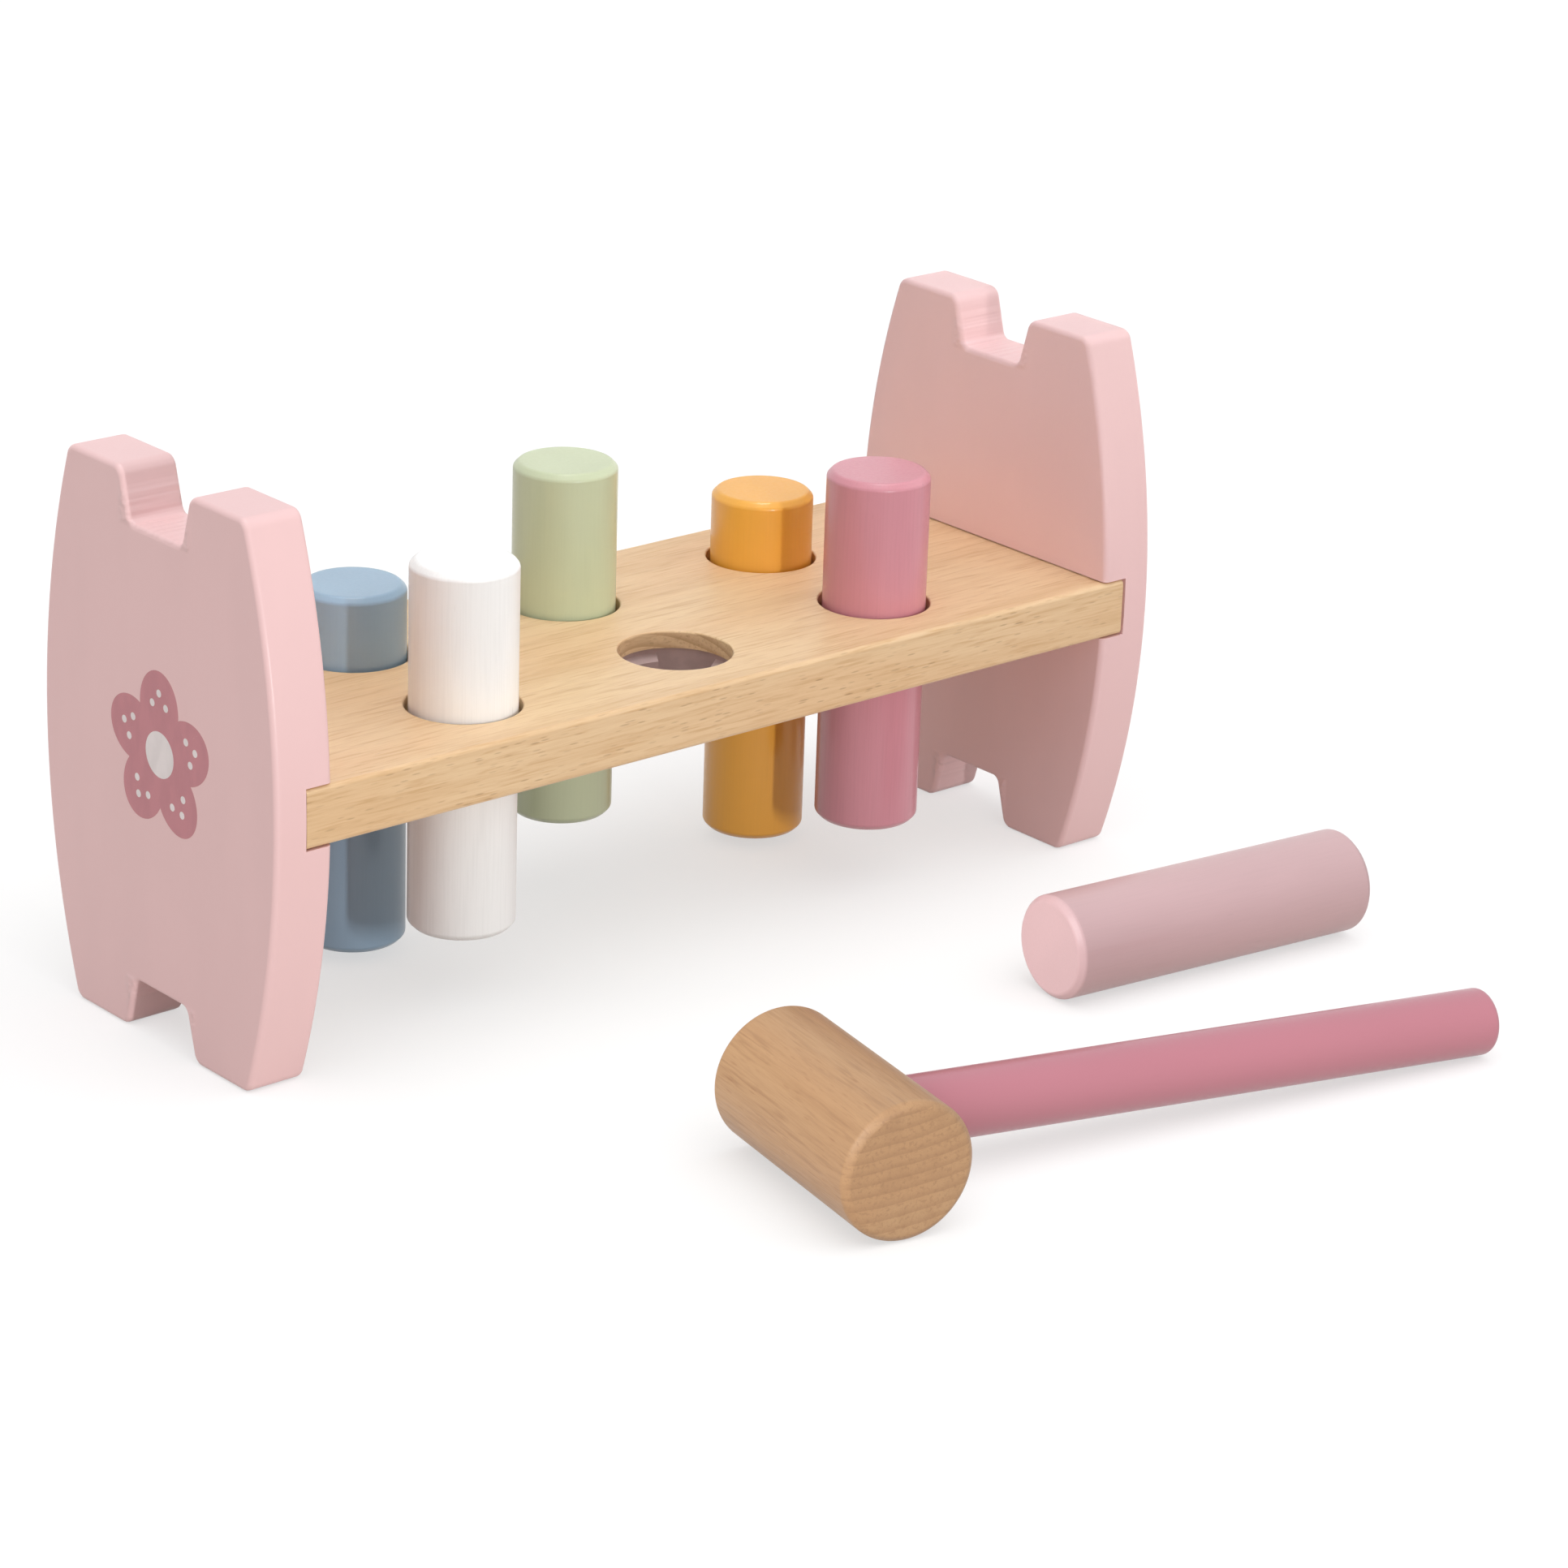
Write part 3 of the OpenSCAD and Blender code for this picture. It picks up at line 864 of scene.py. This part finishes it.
class PEGBENCH_OT_dowels(Operator):
    """Gives the hidden dowels their wood"""

    bl_idname = "pegbench.dowels"
    bl_label = "Dowels"

    def execute(self, context):
        colours = context.scene.bench_colours
        lean = (0.0, math.pi / 2, 0.0)
        tones = (colours.beech, colours.beech_dark, colours.fleck)
        material = beech_wood("dowel_beech", tones, DOWEL_MIDDLE, lean, DOWEL_PITH)
        for name in ("left_dowels", "right_dowels"):
            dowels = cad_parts[name]
            dowels.data.materials.clear()
            dowels.data.materials.append(material)
        return {"FINISHED"}


class PEGBENCH_OT_grip_rings(Operator):
    """Makes the six grip rings under the board's holes"""

    bl_idname = "pegbench.grip_rings"
    bl_label = "Grip rings"

    def execute(self, context):
        sizes, colours = context.scene.bench_sizes, context.scene.bench_colours
        radius = (RING_HIGH.x - RING_LOW.x) / 2
        inner, root = radius - sizes.ring_wall, radius - sizes.ring_wall / 2
        pad = PEG_RADIUS + sizes.pad_gap
        low, high = RING_LOW.z, RING_HIGH.z
        sleeve = [(inner, low), (radius, low), (radius, high), (inner, high)]
        foot, slope = low + sizes.pad_margin, sizes.pad_slope
        crown = high - sizes.pad_margin
        section = [(root, foot), (pad, foot + slope), (pad, crown - slope), (root, crown)]
        for node in RING_NODES:
            centre = middle_of(node)
            bm = bmesh.new()
            verts = [bm.verts.new((centre.x + r, centre.y, z)) for r, z in sleeve]
            edges = [bm.edges.new((verts[i - 1], verts[i])) for i in range(len(verts))]
            spun(bm, verts + edges, centre)
            axis = centre.xy.to_3d()
            for step in range(PAD_COUNT):
                tool = bmesh.new()
                start = Matrix.Rotation(sizes.pad_start + step * math.tau / PAD_COUNT, 4, "Z")
                corners = [tool.verts.new(axis + start @ Vector((r, 0.0, z))) for r, z in section]
                face = tool.faces.new(corners)
                spun(tool, [face, *face.edges, *corners], centre, sizes.pad_sweep, PAD_STEPS)
                bm = combined(bm, tool, "UNION")
            name = node.replace("_grip_ring", "_ring")
            material = ring_plastic(f"{name}_plastic", colours.ring, centre)
            finished(f"{name}_moulded", bm, "bench", (material,), node)
        return {"FINISHED"}


class PEGBENCH_OT_pegs(Operator):
    """Makes the six turned and painted pegs"""

    bl_idname = "pegbench.pegs"
    bl_label = "Pegs"

    def execute(self, context):
        sizes, colours = context.scene.bench_sizes, context.scene.bench_colours
        for hue, (gloss, show) in PEG_FINISHES.items():
            middle = middle_of(f"{hue}_peg")
            lean = Euler((0.0, math.pi / 2, sizes.loose_turn)) if hue == "pink" else Euler()
            place = Matrix.Translation(middle) @ lean.to_matrix().to_4x4()
            bm = turned(PEG_RADIUS, -PEG_LENGTH / 2, PEG_LENGTH / 2)
            chamfered(bm, sizes.peg_chamfer, sizes.peg_soft, Z_AXIS)
            bm.transform(place)
            colour = getattr(colours, hue)
            material = painted_wood(f"{hue}_peg_paint", colour, middle, lean, gloss, show=show)
            node = f"{hue}_peg"
            finished(f"{hue}_peg_turned", bm, node, (material,), node)
        return {"FINISHED"}


class PEGBENCH_OT_mallet(Operator):
    """Makes the mallet's beech head and its painted handle"""

    bl_idname = "pegbench.mallet"
    bl_label = "Mallet"

    def execute(self, context):
        sizes, colours = context.scene.bench_sizes, context.scene.bench_colours
        middle = middle_of("mallet_head")
        rest = sizes.handle_reach - sizes.handle_round
        tilt = math.asin(sizes.head_radius / math.hypot(rest, sizes.handle_radius))
        tilt -= math.atan2(sizes.handle_radius, rest)
        lean = Euler((0.0, tilt, sizes.mallet_turn))
        place = Matrix.Translation(middle) @ lean.to_matrix().to_4x4()
        inner = sizes.head_radius - sizes.socket_depth
        head = turned(sizes.head_radius, -sizes.head_length / 2, sizes.head_length / 2, ALONG_Y)
        chamfered(head, sizes.head_chamfer, sizes.head_soft, Y_AXIS)
        socket_radius = sizes.handle_radius + sizes.glue_gap
        socket_end = sizes.head_radius + OVERRUN
        head = cut(head, turned(socket_radius, inner - sizes.glue_end, socket_end, ALONG_X))
        head.transform(place)
        head_lean = (-math.pi / 2, tilt, sizes.mallet_turn)
        axis = place.to_3x3() @ Y_AXIS
        tones = (colours.head, colours.head_dark, colours.fleck)
        wood = beech_wood(
            "mallet_beech",
            tones,
            middle,
            head_lean,
            HEAD_PITH,
            sway=HEAD_SWAY,
            flecked=0.35,
            ends=axis,
        )
        finished("mallet_head_turned", head, "mallet", (wood,), "mallet_head")
        handle = turned(sizes.handle_radius, inner, sizes.handle_reach, ALONG_X)
        soften(handle, rims_of(handle, X_AXIS), sizes.handle_round, 2 * EDGE_STEPS)
        handle.transform(place)
        handle_lean = (0.0, tilt + math.pi / 2, sizes.mallet_turn)
        rose = painted_wood(
            "handle_paint", colours.handle, middle, handle_lean, gloss=0.38, coat=0.4, show=0.06
        )
        name, node = "mallet_handle_painted", "mallet_handle"
        finished(name, handle, "mallet", (rose,), node)
        return {"FINISHED"}


class PEGBENCH_OT_blossom(Operator):
    """Prints a simple blossom on the outer face of the left end panel"""

    bl_idname = "pegbench.blossom"
    bl_label = "Printed blossom"

    def execute(self, context):
        sizes, colours = context.scene.bench_sizes, context.scene.bench_colours
        low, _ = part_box("left_end_panel")
        middle = Vector((low.x, BLOSSOM_SIDE, low.z + BLOSSOM_HEIGHT))
        outwards = Matrix.Translation(middle) @ Matrix.Rotation(-math.pi / 2, 4, "Y")
        petals = None
        dots = bmesh.new()
        for step in range(sizes.petal_count):
            around = Matrix.Rotation(math.tau * step / sizes.petal_count, 4, "Z")
            reach = Matrix.Translation((sizes.petal_reach, 0.0, 0.0))
            oval = Matrix.Diagonal((sizes.petal_length, sizes.petal_width, 1.0, 1.0))
            petal = add_disc(bmesh.new(), 1.0, sizes.film, outwards @ around @ reach @ oval)
            petals = combined(petals, petal, "UNION") if petals else petal
            for out, side in PETAL_DOTS:
                spot = Matrix.Translation((sizes.petal_reach + out, side, 0.0))
                add_disc(dots, sizes.dot_radius, 2 * sizes.film, outwards @ around @ spot)
        heart = add_disc(bmesh.new(), sizes.blossom_centre, 2 * sizes.film, outwards)
        rose = printed_ink("blossom_rose_ink", colours.ink_rose, middle)
        white = printed_ink("blossom_white_ink", colours.ink_white, middle)
        finished("blossom_petals", petals, "bench", (rose,))
        finished("blossom_middle", heart, "bench", (white,))
        finished("blossom_dots", dots, "bench", (white,))
        return {"FINISHED"}


def add_disc(bm, radius, film, place):
    """Adds a flat disc whose face stands proud of the surface that it is printed on."""
    add_round(bm, radius, 2 * film, DOT_STEPS, place)
    return bm


def hung(name, data, place, ahead):
    """Puts a lamp in its place and turns it the way that it shines."""
    made = bpy.data.objects.new(name, data)
    bpy.context.scene.collection.objects.link(made)
    made.rotation_euler = ahead.to_track_quat("-Z", "Y").to_euler()
    made.location = place
    return made


def lamp(name, energy, width, azimuth, elevation):
    """A far lamp that shines from a direction and looks so many degrees wide."""
    data = bpy.data.lights.new(name, "SUN")
    data.energy = energy
    data.angle = math.radians(width)
    source = heading(math.radians(azimuth), math.radians(elevation))
    return hung(name, data, source * LAMP_DISTANCE, -source)


def strip_lamp(name, power, place):
    """A narrow, tall lamp near the bench, which throws crisp upright shadows."""
    data = bpy.data.lights.new(name, "AREA")
    data.energy = power
    data.shape = "RECTANGLE"
    data.size, data.size_y = STRIP_SIDES
    made = hung(name, data, place, Vector((0.0, 0.0, PANEL_HIGH.z / 2)) - place)
    made.visible_camera = False
    return made


def named(pieces, *starts):
    """Those pieces whose names start so."""
    return [piece for piece in pieces if piece.name.startswith(starts)]


def without(pieces, others):
    """Those pieces that are not among some others."""
    return [piece for piece in pieces if piece not in others]


def gathered(name, pieces):
    """A collection of pieces, outside the scene's own list."""
    made = bpy.data.collections.new(name)
    for piece in pieces:
        made.objects.link(piece)
    return made


def lights_only(lamp_object, lit, shading=None):
    """Keeps a lamp's light to some of the pieces, and its shadows to those that some cast."""
    linking = lamp_object.light_linking
    linking.receiver_collection = gathered(f"{lamp_object.name}_lit", lit)
    if shading:
        linking.blocker_collection = gathered(f"{lamp_object.name}_shading", shading)


def heading(azimuth, elevation):
    """The direction towards a lamp, azimuth 0 being the front and a quarter turn the right."""
    flat = math.cos(elevation)
    return Vector((math.sin(azimuth) * flat, -math.cos(azimuth) * flat, math.sin(elevation)))


def seen_directly(tree):
    """1 for rays that show the stage or its reflection, 0 for its light on the object."""
    path = add(tree, "ShaderNodeLightPath")
    seen = plus(tree, path.outputs["Is Camera Ray"], path.outputs["Is Glossy Ray"])
    return plus(tree, seen, path.outputs["Is Transmission Ray"], clamped=True)


class PEGBENCH_OT_stage(Operator):
    """Lays the floor and sets the background, the lamps and the camera"""

    bl_idname = "pegbench.stage"
    bl_label = "Stage"

    def execute(self, context):
        settings = context.scene.bench_stage
        self.lay_floor(settings)
        self.set_sky(context, settings)
        pieces = [piece for piece in context.scene.objects if piece.type == "MESH"]
        loose = [piece for piece in pieces if piece.name in LOOSE_PIECES]
        mallet = named(loose, "mallet")
        bench = without(pieces, loose)
        floor = named(bench, "floor")
        pegs = [piece for piece in bench if piece.name.endswith("_peg_turned")]
        left_panel = named(bench, "left_panel")
        dim = named(bench, "left_panel", "blue_peg", "orange_peg")
        printed = named(bench, "left_panel", "blossom")
        key = strip_lamp("key_lamp", settings.key, KEY_PLACE)
        end_key = strip_lamp("end_lamp", settings.end, KEY_PLACE)
        peg_key = strip_lamp("peg_lamp", settings.pegs, PEG_LAMP_PLACE)
        top = lamp("top_lamp", settings.top, *TOP_LAMP)
        crown = lamp("crown_lamp", settings.crown, *TOP_LAMP)
        right = lamp("right_lamp", settings.right, *RIGHT_LAMP)
        left = lamp("left_lamp", settings.left, *LEFT_LAMP)
        loose_left = lamp("loose_lamp", settings.loose, *LOOSE_LAMP)
        mallet_left = lamp("mallet_lamp", settings.mallet, *MALLET_LAMP)
        mallet_front = lamp("front_lamp", settings.front, *FRONT_LAMP)
        over_floor = lamp("floor_lamp", settings.over_floor, *FLOOR_LAMP)
        lights_only(key, without(bench, pegs), bench)
        lights_only(top, without(bench, floor))
        lights_only(over_floor, floor)
        lights_only(right, without(bench, dim))
        lights_only(crown, pegs)
        lights_only(peg_key, pegs, bench)
        lights_only(end_key, left_panel)
        lights_only(left, printed)
        lights_only(loose_left, without(loose, mallet))
        lights_only(mallet_left, mallet)
        lights_only(mallet_front, mallet)
        self.set_camera(context, settings)
        context.scene.view_settings.view_transform = "Standard"
        return {"FINISHED"}

    def lay_floor(self, settings):
        """A pale floor that shows white away from the object, and keeps its shadow."""
        bm = bmesh.new()
        down = Matrix.Translation((0.0, 0.0, -FLOOR_DROP))
        half = settings.floor_size / 2
        bmesh.ops.create_grid(bm, x_segments=1, y_segments=1, size=half, matrix=down)
        floor = loose_object("floor", bm)
        material, tree, shader = new_material("floor_white")
        shader.inputs["Roughness"].default_value = 0.9
        shader.inputs["Specular IOR Level"].default_value = 0.0
        seen = seen_directly(tree)
        cover = mixed(tree, seen, colour_of(settings.bounce), colour_of(settings.floor))
        tree.links.new(cover, shader.inputs["Base Color"])
        white = add(tree, "ShaderNodeEmission", {"Strength": 1.0})
        share = times(tree, seen, FLOOR_GLOW)
        inputs = {0: share, 1: shader.outputs[0], 2: white.outputs[0]}
        blend = add(tree, "ShaderNodeMixShader", inputs)
        tree.links.new(blend.outputs[0], tree.nodes["Material Output"].inputs["Surface"])
        floor.data.materials.append(material)

    def set_sky(self, context, settings):
        """White where it is seen, and a soft light from all round."""
        world = bpy.data.worlds.new("studio")
        world.use_nodes = True
        tree = world.node_tree
        around = tree.nodes["Background"]
        around.inputs["Color"].default_value = (1.0, 1.0, 1.0, 1.0)
        around.inputs["Strength"].default_value = settings.sky
        white = add(tree, "ShaderNodeBackground", {"Color": (1.0, 1.0, 1.0, 1.0), "Strength": 1.0})
        inputs = {0: seen_directly(tree), 1: around.outputs[0], 2: white.outputs[0]}
        blend = add(tree, "ShaderNodeMixShader", inputs)
        tree.links.new(blend.outputs[0], tree.nodes["World Output"].inputs["Surface"])
        context.scene.world = world

    def set_camera(self, context, settings):
        """The camera stands at the front left and looks down along the bench."""
        data = bpy.data.cameras.new("camera")
        data.lens = settings.lens
        data.sensor_width = SENSOR_WIDTH
        data.shift_x, data.shift_y = settings.shift
        data.clip_start, data.clip_end = SIGHT
        camera = bpy.data.objects.new("camera", data)
        context.scene.collection.objects.link(camera)
        ahead = -heading(-settings.azimuth, settings.elevation)
        right = ahead.cross(Z_AXIS).normalized()
        up = right.cross(ahead)
        leant_right = right * math.cos(settings.roll) + up * math.sin(settings.roll)
        leant_up = up * math.cos(settings.roll) - right * math.sin(settings.roll)
        axes = Matrix((leant_right, leant_up, -ahead)).transposed()
        camera.matrix_world = Matrix.Translation(settings.place) @ axes.to_4x4()
        context.scene.camera = camera


class PEGBENCH_PT_sidebar(Panel):
    """Lists the bench's pieces, sizes and colours"""

    bl_idname = "PEGBENCH_PT_sidebar"
    bl_label = "Peg Bench"
    bl_space_type = "VIEW_3D"
    bl_region_type = "UI"
    bl_category = "Peg Bench"

    def draw(self, context):
        layout = self.layout
        for operator in OPERATORS:
            layout.operator(operator.bl_idname)
        for group in ("bench_sizes", "bench_colours", "bench_stage"):
            settings = getattr(context.scene, group)
            box = layout.box()
            for name in settings.__annotations__:
                box.prop(settings, name)


OPERATORS = (
    PEGBENCH_OT_end_panels,
    PEGBENCH_OT_board,
    PEGBENCH_OT_dowels,
    PEGBENCH_OT_grip_rings,
    PEGBENCH_OT_pegs,
    PEGBENCH_OT_mallet,
    PEGBENCH_OT_blossom,
    PEGBENCH_OT_stage,
)
CLASSES = (BenchSizes, BenchColours, StageSettings, *OPERATORS, PEGBENCH_PT_sidebar)


def register():
    for kind in CLASSES:
        bpy.utils.register_class(kind)
    bpy.types.Scene.bench_sizes = PointerProperty(type=BenchSizes)
    bpy.types.Scene.bench_colours = PointerProperty(type=BenchColours)
    bpy.types.Scene.bench_stage = PointerProperty(type=StageSettings)


def unregister():
    del bpy.types.Scene.bench_stage
    del bpy.types.Scene.bench_colours
    del bpy.types.Scene.bench_sizes
    for kind in reversed(CLASSES):
        bpy.utils.unregister_class(kind)


def main():
    """Builds the whole bench."""
    register()
    bpy.ops.pegbench.end_panels()
    bpy.ops.pegbench.board()
    bpy.ops.pegbench.dowels()
    bpy.ops.pegbench.grip_rings()
    bpy.ops.pegbench.pegs()
    bpy.ops.pegbench.mallet()
    bpy.ops.pegbench.blossom()
    bpy.ops.pegbench.stage()


if __name__ == "__main__":
    main()
